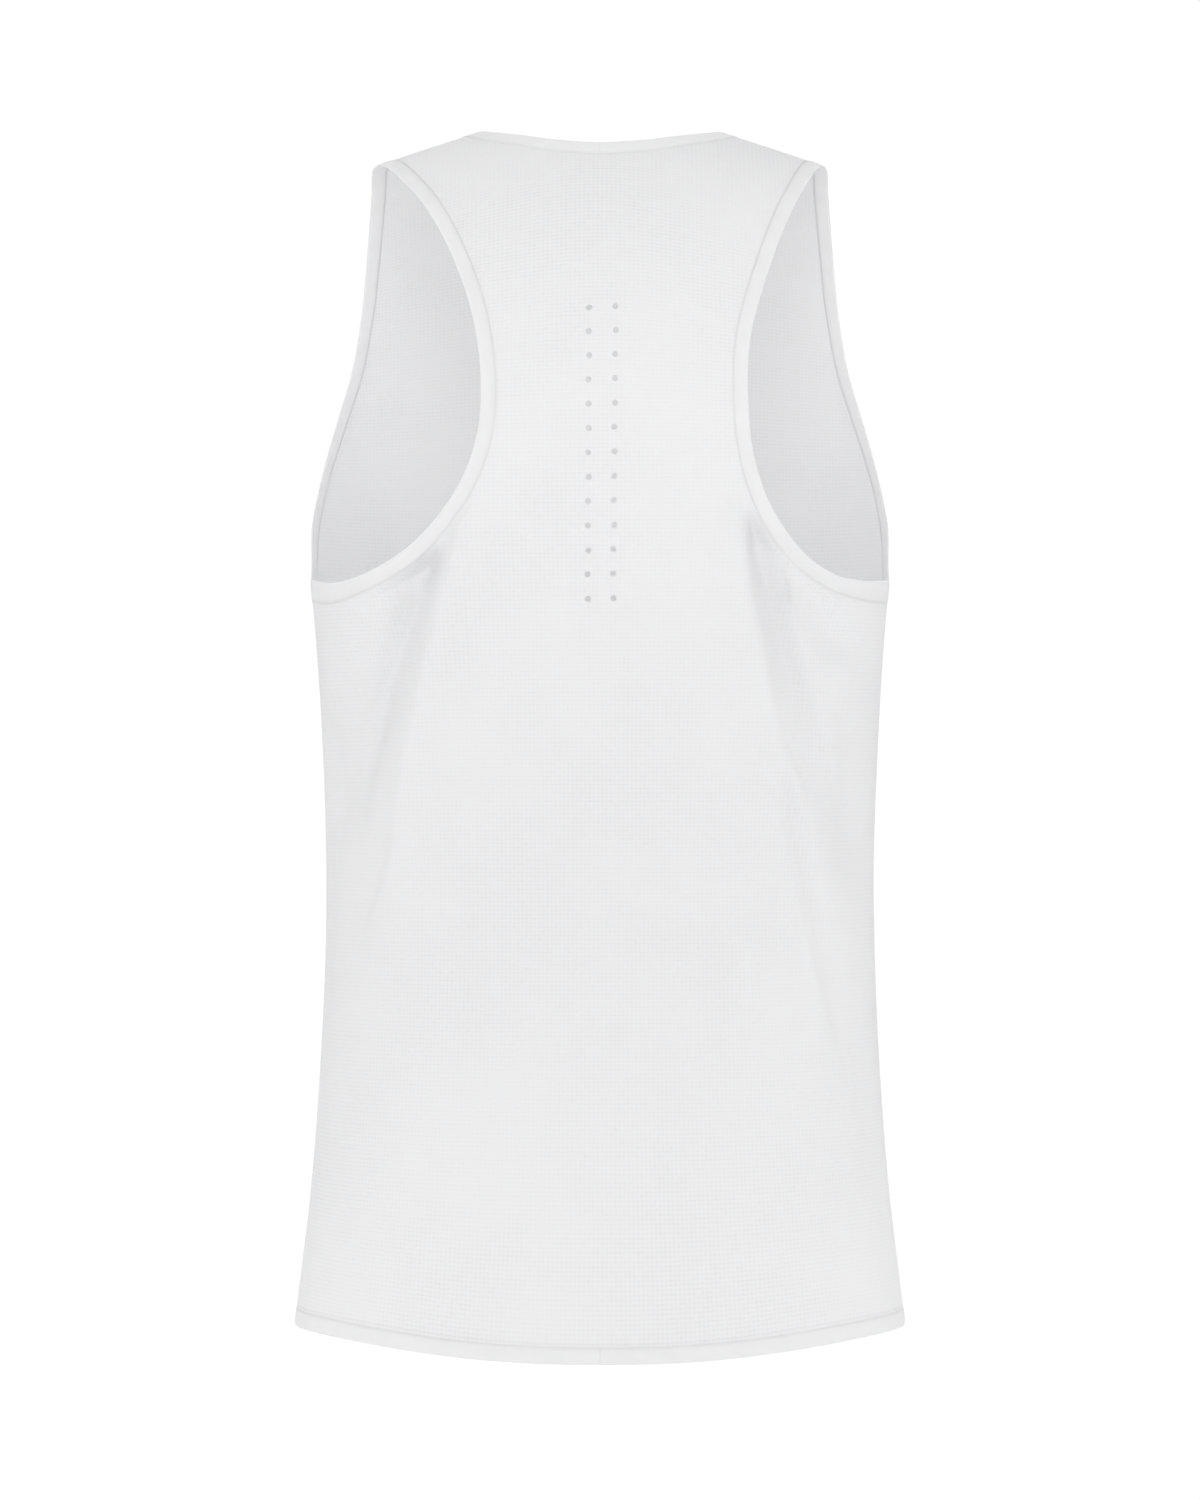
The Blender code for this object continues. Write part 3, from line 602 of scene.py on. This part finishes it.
def cut_hole(around, rise, taken, hole):
    """The block of grid cells round one hole, its rim as grid indices, and the hole's outline."""
    centre, wide, high, tilt = hole
    centre = np.array([centre])
    run_around, run_rise = (run[0] for run in slopes_of_form(BACK, *centre.T))
    east = run_around / np.linalg.norm(run_around)
    north = run_rise / np.linalg.norm(run_rise)
    middle = form(BACK, *centre.T)[0]
    rows, columns = around.shape
    near = np.argmin((around - centre[0, 0]) ** 2 + (rise - centre[0, 1]) ** 2)
    row, step = divmod(int(near), columns)
    reach = max(wide, high) + HOLE_MARGIN

    def offset(i, j):
        spot = form(BACK, around[i, j], rise[i, j]) - middle
        return spot @ east, spot @ north

    def past(axis, way):
        spot = [row, step]
        while offset(*spot)[1 - axis] * way < reach:
            spot[axis] += way
        return spot[axis]

    low, top, right, left = past(0, -1), past(0, 1), past(1, -1), past(1, 1)
    taken[low:top, right:left] = True
    rim = ([(low, j) for j in range(right, left)] + [(i, left) for i in range(low, top)]
           + [(top, j) for j in range(left, right, -1)] + [(i, right) for i in range(top, low, -1)])
    angles = np.unwrap([math.atan2(*offset(i, j)[::-1]) for i, j in rim])
    ends = np.append(angles, angles[0] + 2 * math.pi)
    turns = np.stack([ends[:-1], (ends[:-1] + ends[1:]) / 2], axis=1).ravel()
    x = wide * np.cos(turns - tilt)
    y = high * np.sin(turns - tilt)
    across = x * math.cos(tilt) - y * math.sin(tilt)
    up = x * math.sin(tilt) + y * math.cos(tilt)
    heading = across[:, None] * east + up[:, None] * north
    outline = walk(BACK, np.repeat(centre, len(turns), axis=0), heading, np.ones(len(turns)))
    return [i * columns + j for i, j in rim], outline


def add_panel(name, face, finish):
    """One panel of thin cloth: two grids, closed along the rim and round the perforations."""
    around, rise = panel_grid(face)
    rows, columns = around.shape
    taken = np.zeros((rows - 1, columns - 1), bool)
    cuts = []
    if face == BACK:
        cuts = [cut_hole(around, rise, taken, hole) for hole in hole_outlines()]
    chart = np.stack([around.ravel(), rise.ravel()], axis=1)
    starts = []
    for _, outline in cuts:
        starts.append(len(chart))
        chart = np.vstack([chart, outline])
    spots, normal = skin(face, *chart.T)
    drawn_in = np.zeros((rows, columns))
    side_steps = PANEL_STEPS["side"]
    drawn_in[:side_steps + 1, [0, -1]] = SEAM_DIP
    drawn_in[-1, :PANEL_STEPS["shoulder"] + 1] = SEAM_DIP
    drawn_in[-1, -PANEL_STEPS["shoulder"] - 1:] = SEAM_DIP
    dip = np.zeros(len(chart))
    dip[:rows * columns] = drawn_in.ravel()
    outer = spots + normal * (PANEL_TOP - dip)[:, None]
    inner = spots + normal * (PANEL_UNDER - dip)[:, None]
    below = len(chart)

    index = np.arange(rows * columns).reshape(rows, columns)
    quads = np.stack([index[:-1, :-1], index[:-1, 1:], index[1:, 1:], index[1:, :-1]], axis=-1)[~taken]
    faces = [*quads[:, ::-face].tolist(), *(quads[:, ::face] + below).tolist()]

    def close(here, there):
        faces.append([there, here, here + below, there + below][::-face])

    rim = np.concatenate([index[0, :], index[1:, -1], index[-1, -2::-1], index[-2:0:-1, 0]]).tolist()
    for here, there in zip(rim, rim[1:] + rim[:1]):
        close(here, there)
    for (grid_rim, _), start in zip(cuts, starts):
        count = len(grid_rim)
        for step in range(count):
            a = grid_rim[step]
            b = grid_rim[(step + 1) % count]
            c0 = start + 2 * step
            c1 = start + 2 * step + 1
            c2 = start + (2 * step + 2) % (2 * count)
            for triangle in ((a, c0, c1), (a, c1, b), (b, c1, c2)):
                faces.append(list(triangle))
                faces.append([corner + below for corner in reversed(triangle)])
            close(c1, c0)
            close(c2, c1)
    cloth = np.tile(np.stack(cloth_map(face, *chart.T), axis=1), (2, 1))
    return add_object(name, np.vstack([outer, inner]), faces, finish, cloth)


def ring_frame(lines):
    """Points and normals of the closed loop round an opening that runs along both faces' lines."""
    back = skin(BACK, *lines[BACK].T)
    front = skin(FRONT, *lines[FRONT].T)
    return [np.vstack([back[part], front[part][-2:0:-1]]) for part in (0, 1)]


def ring_points(lines, height):
    """Points at a height over that loop."""
    spots, normal = ring_frame(lines)
    return spots + normal * height


def add_binding(name, lines_at, width, finish, flip, join):
    """A band folded round an opening's edge and the panel's edge, its ends joined at one of its stations."""
    rings = {share: ring_frame(lines_at(share)) for share in {row[0] for row in BINDING}}
    sections = np.stack([rings[share][0] + rings[share][1] * height * MM
                         for share, height in BINDING], axis=1)
    count, size = sections.shape[:2]
    stations = np.arange(count)
    faces = []
    for point in range(size):
        after = (point + 1) % size
        there = (stations + 1) % count
        loop = np.stack([stations * size + point, stations * size + after,
                         there * size + after, there * size + point], axis=1)
        faces += (loop[:, ::-1] if flip else loop).tolist()
    length = run_length(sections[:, 0])
    length -= length[join]
    shares = np.array([row[0] for row in BINDING]) * width
    cloth = np.stack(np.broadcast_arrays(length[:, None], shares[None, :]), axis=-1).reshape(-1, 2)
    return add_object(name, sections.reshape(-1, 3), faces, finish, cloth)


def along_loop(loop, distances):
    """Points of a closed loop at given distances along it."""
    closed = np.vstack([loop, loop[:1]])
    lengths = run_length(closed)
    share = np.asarray(distances) % 1.0
    return np.stack([np.interp(share * lengths[-1], lengths, closed[:, axis]) for axis in range(3)], axis=1)


def loop_length(loop):
    return float(np.linalg.norm(np.roll(loop, -1, axis=0) - loop, axis=1).sum())


def add_stitches(name, starts, ends, lifts, radius, finish):
    """A row of short threads, each from a start to an end over a low arch."""
    run = ends - starts
    run /= np.linalg.norm(run, axis=1, keepdims=True)
    sideways = np.cross(run, lifts)
    sideways /= np.linalg.norm(sideways, axis=1, keepdims=True)
    upward = np.cross(sideways, run)
    turns = np.linspace(0, 2 * math.pi, STITCH_SIDES, endpoint=False)
    points = []
    for share, girth in zip(STITCH_SHARES, STITCH_GIRTHS):
        centre = starts + (ends - starts) * share + lifts * math.sin(math.pi * share)
        for turn in turns:
            points.append(centre + girth * radius * (math.cos(turn) * sideways + math.sin(turn) * upward))
    count = len(starts)
    points = np.stack(points, axis=1)
    size = points.shape[1]
    around = range(STITCH_SIDES)
    loops = []
    for low in range(0, size - STITCH_SIDES, STITCH_SIDES):
        for here, there in zip(around, [*around[1:], 0]):
            loops.append([low + here, low + there, low + there + STITCH_SIDES, low + here + STITCH_SIDES])
    loops += [list(around[::-1]), [size - STITCH_SIDES + side for side in around]]
    faces = []
    for loop in loops:
        faces += (np.array(loop) + size * np.arange(count)[:, None]).tolist()
    return add_object(name, points.reshape(-1, 3), faces, finish, sharp=80)


# ---------------- materials
class Nodes:
    """Short hand for building a node tree."""

    def __init__(self, name):
        self.material = bpy.data.materials.new(name)
        self.material.use_nodes = True
        self.tree = self.material.node_tree
        self.tree.nodes.clear()

    def add(self, kind, **values):
        node = self.tree.nodes.new("ShaderNode" + kind)
        for key, value in values.items():
            setattr(node, key, value)
        return node

    def put(self, socket, value):
        if isinstance(value, bpy.types.NodeSocket):
            self.tree.links.new(value, socket)
        else:
            socket.default_value = value

    def math(self, operation, *values):
        node = self.add("Math", operation=operation)
        for socket, value in zip(node.inputs, values):
            self.put(socket, value)
        return node.outputs[0]

    def plus(self, first, *others):
        for other in others:
            first = self.math("ADD", first, other)
        return first

    def minus(self, first, second):
        return self.math("SUBTRACT", first, second)

    def times(self, first, second):
        return self.math("MULTIPLY", first, second)

    def ramp(self, value, low, high, to_low=0.0, to_high=1.0):
        """Runs softly from to_low to to_high while the value runs from low to high."""
        node = self.add("MapRange", interpolation_type="SMOOTHSTEP")
        for socket, given in zip(node.inputs, (value, low, high, to_low, to_high)):
            self.put(socket, given)
        return node.outputs[0]

    def noise(self, vector, scale, detail=2.0, rough=0.5):
        node = self.add("TexNoise")
        for socket, given in (("Vector", vector), ("Scale", scale), ("Detail", detail), ("Roughness", rough)):
            self.put(node.inputs[socket], given)
        return node.outputs["Fac"]

    def streaks(self, lengths, across, up):
        """Noise with a grain of its own across the cloth and up it, per metre."""
        node = self.add("VectorMath", operation="MULTIPLY")
        self.put(node.inputs[0], lengths)
        self.put(node.inputs[1], (across, up, 1.0))
        return self.noise(node.outputs[0], scale=1.0)

    def mix_colour(self, share, first, second):
        node = self.add("Mix", data_type="RGBA")
        for socket, given in ((0, share), (6, first), (7, second)):     # factor, and colours A and B
            self.put(node.inputs[socket], given)
        return node.outputs[2]

    def cloth_lengths(self):
        """The cloth map, and its lengths across and up."""
        lengths = self.add("UVMap", uv_map="cloth").outputs[0]
        parts = self.add("SeparateXYZ")
        self.put(parts.inputs[0], lengths)
        return lengths, parts.outputs[0], parts.outputs[1]

    def comb(self, along, pitch, breadth):
        """Thin lines across a length: 1 on each line, 0 between."""
        phase = self.math("FRACT", self.math("DIVIDE", along, pitch))
        from_line = self.math("ABSOLUTE", self.minus(phase, 0.5))
        return self.ramp(from_line, breadth / pitch, 0.0)

    def joined(self, along, lines):
        """Adds the join of a band's two ends, where its length is nought, to the lines of its knit."""
        return self.plus(lines, self.ramp(self.math("ABSOLUTE", along), *BAND_JOIN))

    def show(self, shader):
        output = self.add("OutputMaterial")
        self.tree.links.new(shader.outputs[0], output.inputs["Surface"])
        return self.material

    def cloth(self, colour, height, bump, roughness, sheen, glow, distance=0.08 * MM):
        """Knit shader: a matt face with light coming through it."""
        bumps = self.add("Bump")
        face = self.add("BsdfPrincipled")
        through = self.add("BsdfTranslucent")
        both = self.add("MixShader")
        for node, values in (
            (bumps, {"Strength": bump, "Distance": distance, "Height": height}),
            (face, {"Base Color": colour, "Roughness": roughness, "Specular IOR Level": 0.25,
                    "Sheen Weight": sheen, "Sheen Roughness": 0.55, "Normal": bumps.outputs[0]}),
            (through, {"Color": colour, "Normal": bumps.outputs[0]}),
        ):
            for socket, value in values.items():
                self.put(node.inputs[socket], value)
        self.put(both.inputs[0], glow)
        self.tree.links.new(face.outputs[0], both.inputs[1])
        self.tree.links.new(through.outputs[0], both.inputs[2])
        return self.show(both)


KNIT_PITCH = 2.35 * MM
KNIT_WEIGHTS = {"rows": 0.62, "wales": 0.40, "pits": 0.45, "fine_rows": 0.20, "fine_wales": 0.16}
BAND_JOIN = (0.55 * MM, 0.15 * MM)  # a band's join is faint this far from its middle, and whole this near
WHITE = (0.880, 0.880, 0.884, 1)
BAND_WHITE = (0.872, 0.872, 0.876, 1)
NECK_WHITE = (0.862, 0.862, 0.866, 1)
# darker grey that marks are mixed towards: painted shade in the knits' lines and pits and above the hem band,
# random mottle and the join on the smooth bands
PAINTED_SHADE_AND_MOTTLE = (0.700, 0.702, 0.714, 1)
# painted shade: the thread is painted greyer than the cloth, for the shade along the neck seam
THREAD_SEAM_SHADE_DARK, THREAD_SEAM_SHADE_LIGHT = (0.76, 0.76, 0.77, 1), (0.84, 0.84, 0.85, 1)
FLOOR_SHADE, FLOOR_WHITE = (0.88, 0.88, 0.88, 1), (0.92, 0.92, 0.92, 1)


def mesh_knit():
    """Micro mesh: a square grid of fine lines and pits, and a finer one, uneven along the threads; its lines
    and pits are bumps and painted shade.
    """
    n = Nodes("micro_mesh_knit_fine")
    lengths, u, v = n.cloth_lengths()
    drift = n.times(n.minus(n.noise(lengths, scale=28.0), 0.5), 0.4 * MM)
    u_line, v_line = n.plus(u, drift), n.plus(v, drift)
    dashes = n.ramp(n.streaks(lengths, across=260.0, up=760.0), 0.30, 0.66, 0.30, 1.0)
    strokes = n.ramp(n.streaks(lengths, across=760.0, up=260.0), 0.30, 0.66, 0.25, 1.0)
    rows = n.times(n.comb(v_line, KNIT_PITCH, breadth=0.62 * MM), dashes)
    wales = n.times(n.comb(u_line, KNIT_PITCH, breadth=0.60 * MM), strokes)
    marks = {
        "rows": rows, "wales": wales, "pits": n.times(rows, wales),
        "fine_rows": n.comb(v_line, KNIT_PITCH / 2, breadth=0.34 * MM),
        "fine_wales": n.comb(u_line, KNIT_PITCH / 2, breadth=0.34 * MM),
    }
    lines = n.plus(*(n.times(marks[name], weight) for name, weight in KNIT_WEIGHTS.items()))
    patches = n.noise(lengths, scale=9.0, detail=3.0, rough=0.6)
    lines = n.times(lines, n.ramp(patches, 0.32, 0.68, 0.55, 1.25))
    # painted shade: a dotted line just above the hem band is pitted and painted darker, where the band's edge
    # shades the knit
    above_hem = n.math("ABSOLUTE", n.minus(v, HEM_SIDE + HEM_BAND + 0.7 * MM))
    hem_pits_and_painted_shade = n.times(n.ramp(above_hem, 1.1 * MM, 0.2 * MM), n.comb(u, KNIT_PITCH / 2, breadth=0.5 * MM))
    lines = n.plus(lines, n.times(hem_pits_and_painted_shade, 0.7))
    height = n.minus(n.times(n.noise(lengths, scale=2600.0), 0.25), lines)
    # painted shade: the knit's lines and pits are painted darker, for the shade in its openings and grooves
    colour = n.mix_colour(n.times(lines, 0.34), WHITE, PAINTED_SHADE_AND_MOTTLE)
    return n.cloth(colour, height, bump=0.50, roughness=0.74, sheen=0.10, glow=0.50)


def smooth_band():
    """Smooth bonded knit: close loops, a soft matt face."""
    n = Nodes("smooth_bonded_knit_fine")
    lengths, along, _ = n.cloth_lengths()
    patches = n.ramp(n.noise(lengths, scale=60.0, detail=3.0), 0.30, 0.75, 0.0, 0.35)
    marks = n.joined(along, patches)
    height = n.minus(n.streaks(lengths, across=1500.0, up=2400.0), marks)
    colour = n.mix_colour(n.times(marks, 0.28), BAND_WHITE, PAINTED_SHADE_AND_MOTTLE)
    return n.cloth(colour, height, bump=0.25, roughness=0.70, sheen=0.10, glow=0.50)


def neck_binding():
    """The neck band's cloth: a faint mesh, closer than the panels'."""
    n = Nodes("neck_binding_fine")
    lengths, u, v = n.cloth_lengths()
    rows = n.times(n.comb(v, 1.2 * MM, breadth=0.34 * MM), 0.4)
    wales = n.times(n.comb(u, 1.6 * MM, breadth=0.42 * MM), 0.6)
    uneven = n.ramp(n.streaks(lengths, across=500.0, up=500.0), 0.30, 0.68, 0.2, 1.0)
    lines = n.joined(u, n.times(n.plus(rows, wales), uneven))
    # painted shade: the band's mesh lines are painted darker; the join of its ends is a darker line too
    colour = n.mix_colour(n.times(lines, 0.22), NECK_WHITE, PAINTED_SHADE_AND_MOTTLE)
    return n.cloth(colour, n.minus(0.0, lines), bump=0.40, roughness=0.72, sheen=0.10, glow=0.28)


def thread():
    """Sewing thread: fine twisted strands, painted greyer than the cloth as the neck seam's shade."""
    n = Nodes("sewing_thread_painted_shade")
    twist = n.noise(n.add("TexCoord").outputs["Object"], scale=6000.0, detail=1.0)
    colour = n.mix_colour(twist, THREAD_SEAM_SHADE_DARK, THREAD_SEAM_SHADE_LIGHT)
    return n.cloth(colour, twist, bump=0.30, roughness=0.55, sheen=0.05, glow=0.05, distance=0.05 * MM)


def floor_finish():
    """Pale studio floor with a faint unevenness."""
    n = Nodes("studio_floor")
    uneven = n.noise(n.add("TexCoord").outputs["Object"], scale=1.5, detail=3.0)
    face = n.add("BsdfPrincipled")
    n.put(face.inputs["Base Color"], n.mix_colour(uneven, FLOOR_SHADE, FLOOR_WHITE))
    n.put(face.inputs["Roughness"], 0.9)
    return n.show(face)


# ---------------- the garment
def dress():
    """Make every visible piece and tie it to the frame."""
    knit, smooth, binding, sewing = mesh_knit(), smooth_band(), neck_binding(), thread()
    back = add_panel("cloth_back", BACK, knit)
    front = add_panel("cloth_front", FRONT, knit)
    neck = add_binding("binding_neck", lambda share: neck_lines(share, RING_STEPS["neck"]),
                       NECK_BAND, binding, flip=True, join=RING_STEPS["neck"] // 2)
    arms = {
        side: add_binding("binding_armhole_" + word,
                          lambda share, side=side: arm_lines(side, share, RING_STEPS["armhole"]),
                          ARM_BAND_UNDER, smooth, flip=side == RIGHT, join=0)
        for side, word in ((LEFT, "left"), (RIGHT, "right"))
    }
    hem = add_binding("binding_hem", lambda share: hem_lines(share, RING_STEPS["hem"]),
                      HEM_BAND, smooth, flip=False, join=RING_STEPS["hem"] // 2)

    above, seam, below = (ring_points(neck_lines(share, RING_STEPS["neck"]), height)
                          for share, height in STITCH_LINES)
    count = int(loop_length(seam) / STITCH_PITCH)
    stations = np.arange(count) / count
    lift = along_loop(above, stations) - along_loop(seam, stations)
    out = np.cross(along_loop(seam, stations + 0.2 / count) - along_loop(seam, stations), lift)
    out *= -1 / np.linalg.norm(out, axis=1, keepdims=True)
    start, end = (along_loop(seam, stations + share / count) for share in CHAIN_ENDS)
    chain = add_stitches("stitches_neck_chain", start, end, out * CHAIN_LIFT, CHAIN_RADIUS, sewing)
    cross = add_stitches("stitches_neck_cross", along_loop(above, stations), along_loop(below, stations),
                         out * CROSS_LIFT, CROSS_RADIUS, sewing)

    for piece in (back, front, neck, arms[LEFT], arms[RIGHT], hem, chain, cross):
        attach(piece, "root")
    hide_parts("back_panel")
    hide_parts("front_panel")
    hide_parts("neck_band")
    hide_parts("armhole_band_left")
    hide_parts("armhole_band_right")
    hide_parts("hem_band")
    return back, front, neck, arms, hem, chain, cross


# ---------------- studio
FLOOR_RADIUS = 4.0
FLOOR_HEIGHT = -1.45
FLOOR_SIDES = 96
BACKDROP = (0.45, -0.45, 0.60, 1.02)  # glow from 0.60 towards the back to 1.02 towards the front
# Lamps: where each stands, what it is aimed at, its width, its height where it isn't round, and watts
LAMPS = (
    ("lamp_key", (0.0, 3.0, 1.3), (0.0, 0.0, -0.33), 1.0, None, 16.0),
    ("lamp_near", (0.0, 1.6, -0.30), (0.0, 0.0, -0.30), 1.0, None, 6.2),
    ("lamp_top", (0.0, 0.9, 2.0), (0.0, 0.0, -0.2), 1.4, None, 5.0),
    ("lamp_inside", (0.0, 0.0, -0.20), (0.0, -1.0, -0.20), 0.05, 0.20, 0.014),
    ("lamp_half_left", (1.9, 1.9, -0.3), (0.0, 0.0, -0.3), 1.2, None, 7.4),
    ("lamp_side_left", (2.4, 0.1, -0.3), (0.0, 0.0, -0.3), 1.2, None, 9.3),
    ("lamp_half_right", (-1.9, 1.9, -0.3), (0.0, 0.0, -0.3), 1.2, None, 7.4),
    ("lamp_side_right", (-2.4, 0.1, -0.3), (0.0, 0.0, -0.3), 1.2, None, 9.3),
)
CAMERA_SPOT = (0.0, 3.0, -0.348)
SENSOR = 36.0                   # mm
PHOTO_HEIGHT = 1500 * 0.00058   # height of the photo at the garment's middle


def add_floor():
    """A pale round floor."""
    mesh = bpy.data.meshes.new("studio_floor")
    turns = np.linspace(0, 2 * math.pi, FLOOR_SIDES, endpoint=False)
    rim = [(FLOOR_RADIUS * math.cos(turn), FLOOR_RADIUS * math.sin(turn), FLOOR_HEIGHT) for turn in turns]
    mesh.from_pydata(rim, [], [list(range(FLOOR_SIDES))])
    mesh.materials.append(floor_finish())
    floor = bpy.data.objects.new("studio_floor", mesh)
    link(floor)


def add_backdrop():
    """A glow from all round, brighter behind the front."""
    world = bpy.data.worlds.new("studio")
    bpy.context.scene.world = world
    world.use_nodes = True
    tree = world.node_tree
    background = tree.nodes["Background"]
    background.inputs["Color"].default_value = (1, 1, 1, 1)
    direction = tree.nodes.new("ShaderNodeTexCoord")
    parts = tree.nodes.new("ShaderNodeSeparateXYZ")
    tree.links.new(direction.outputs["Generated"], parts.inputs[0])
    glow = tree.nodes.new("ShaderNodeMapRange")
    glow.interpolation_type = "SMOOTHSTEP"
    for socket, value in zip(glow.inputs[1:5], BACKDROP):
        socket.default_value = value
    tree.links.new(parts.outputs["Y"], glow.inputs[0])
    tree.links.new(glow.outputs[0], background.inputs["Strength"])


def add_lamp(name, spot, aim, size, height, power):
    """A soft lamp that the camera doesn't see."""
    data = bpy.data.lights.new(name, "AREA")
    data.shape = "RECTANGLE" if height else "DISK"
    data.size = size
    if height:
        data.size_y = height
    data.energy = power
    made = bpy.data.objects.new(name, data)
    made.location = spot
    made.visible_camera = False
    heading = np.array(aim) - np.array(spot)
    length = float(np.linalg.norm(heading))
    made.rotation_euler = (math.acos(-heading[2] / length), 0.0,
                           math.atan2(heading[1], heading[0]) - math.pi / 2)
    link(made)


def add_camera():
    """The photo's view, straight from behind."""
    data = bpy.data.cameras.new("camera_back")
    data.sensor_width = SENSOR
    data.lens = SENSOR * CAMERA_SPOT[1] / PHOTO_HEIGHT
    camera = bpy.data.objects.new("camera_back", data)
    camera.location = CAMERA_SPOT
    camera.rotation_euler = (math.radians(90), 0.0, math.radians(180))
    link(camera)
    bpy.context.scene.camera = camera
    bpy.context.scene.view_settings.view_transform = "Standard"


back, front, neck, arms, hem, chain, cross = dress()
add_floor()
add_backdrop()
for lamp in LAMPS:
    add_lamp(*lamp)
add_camera()
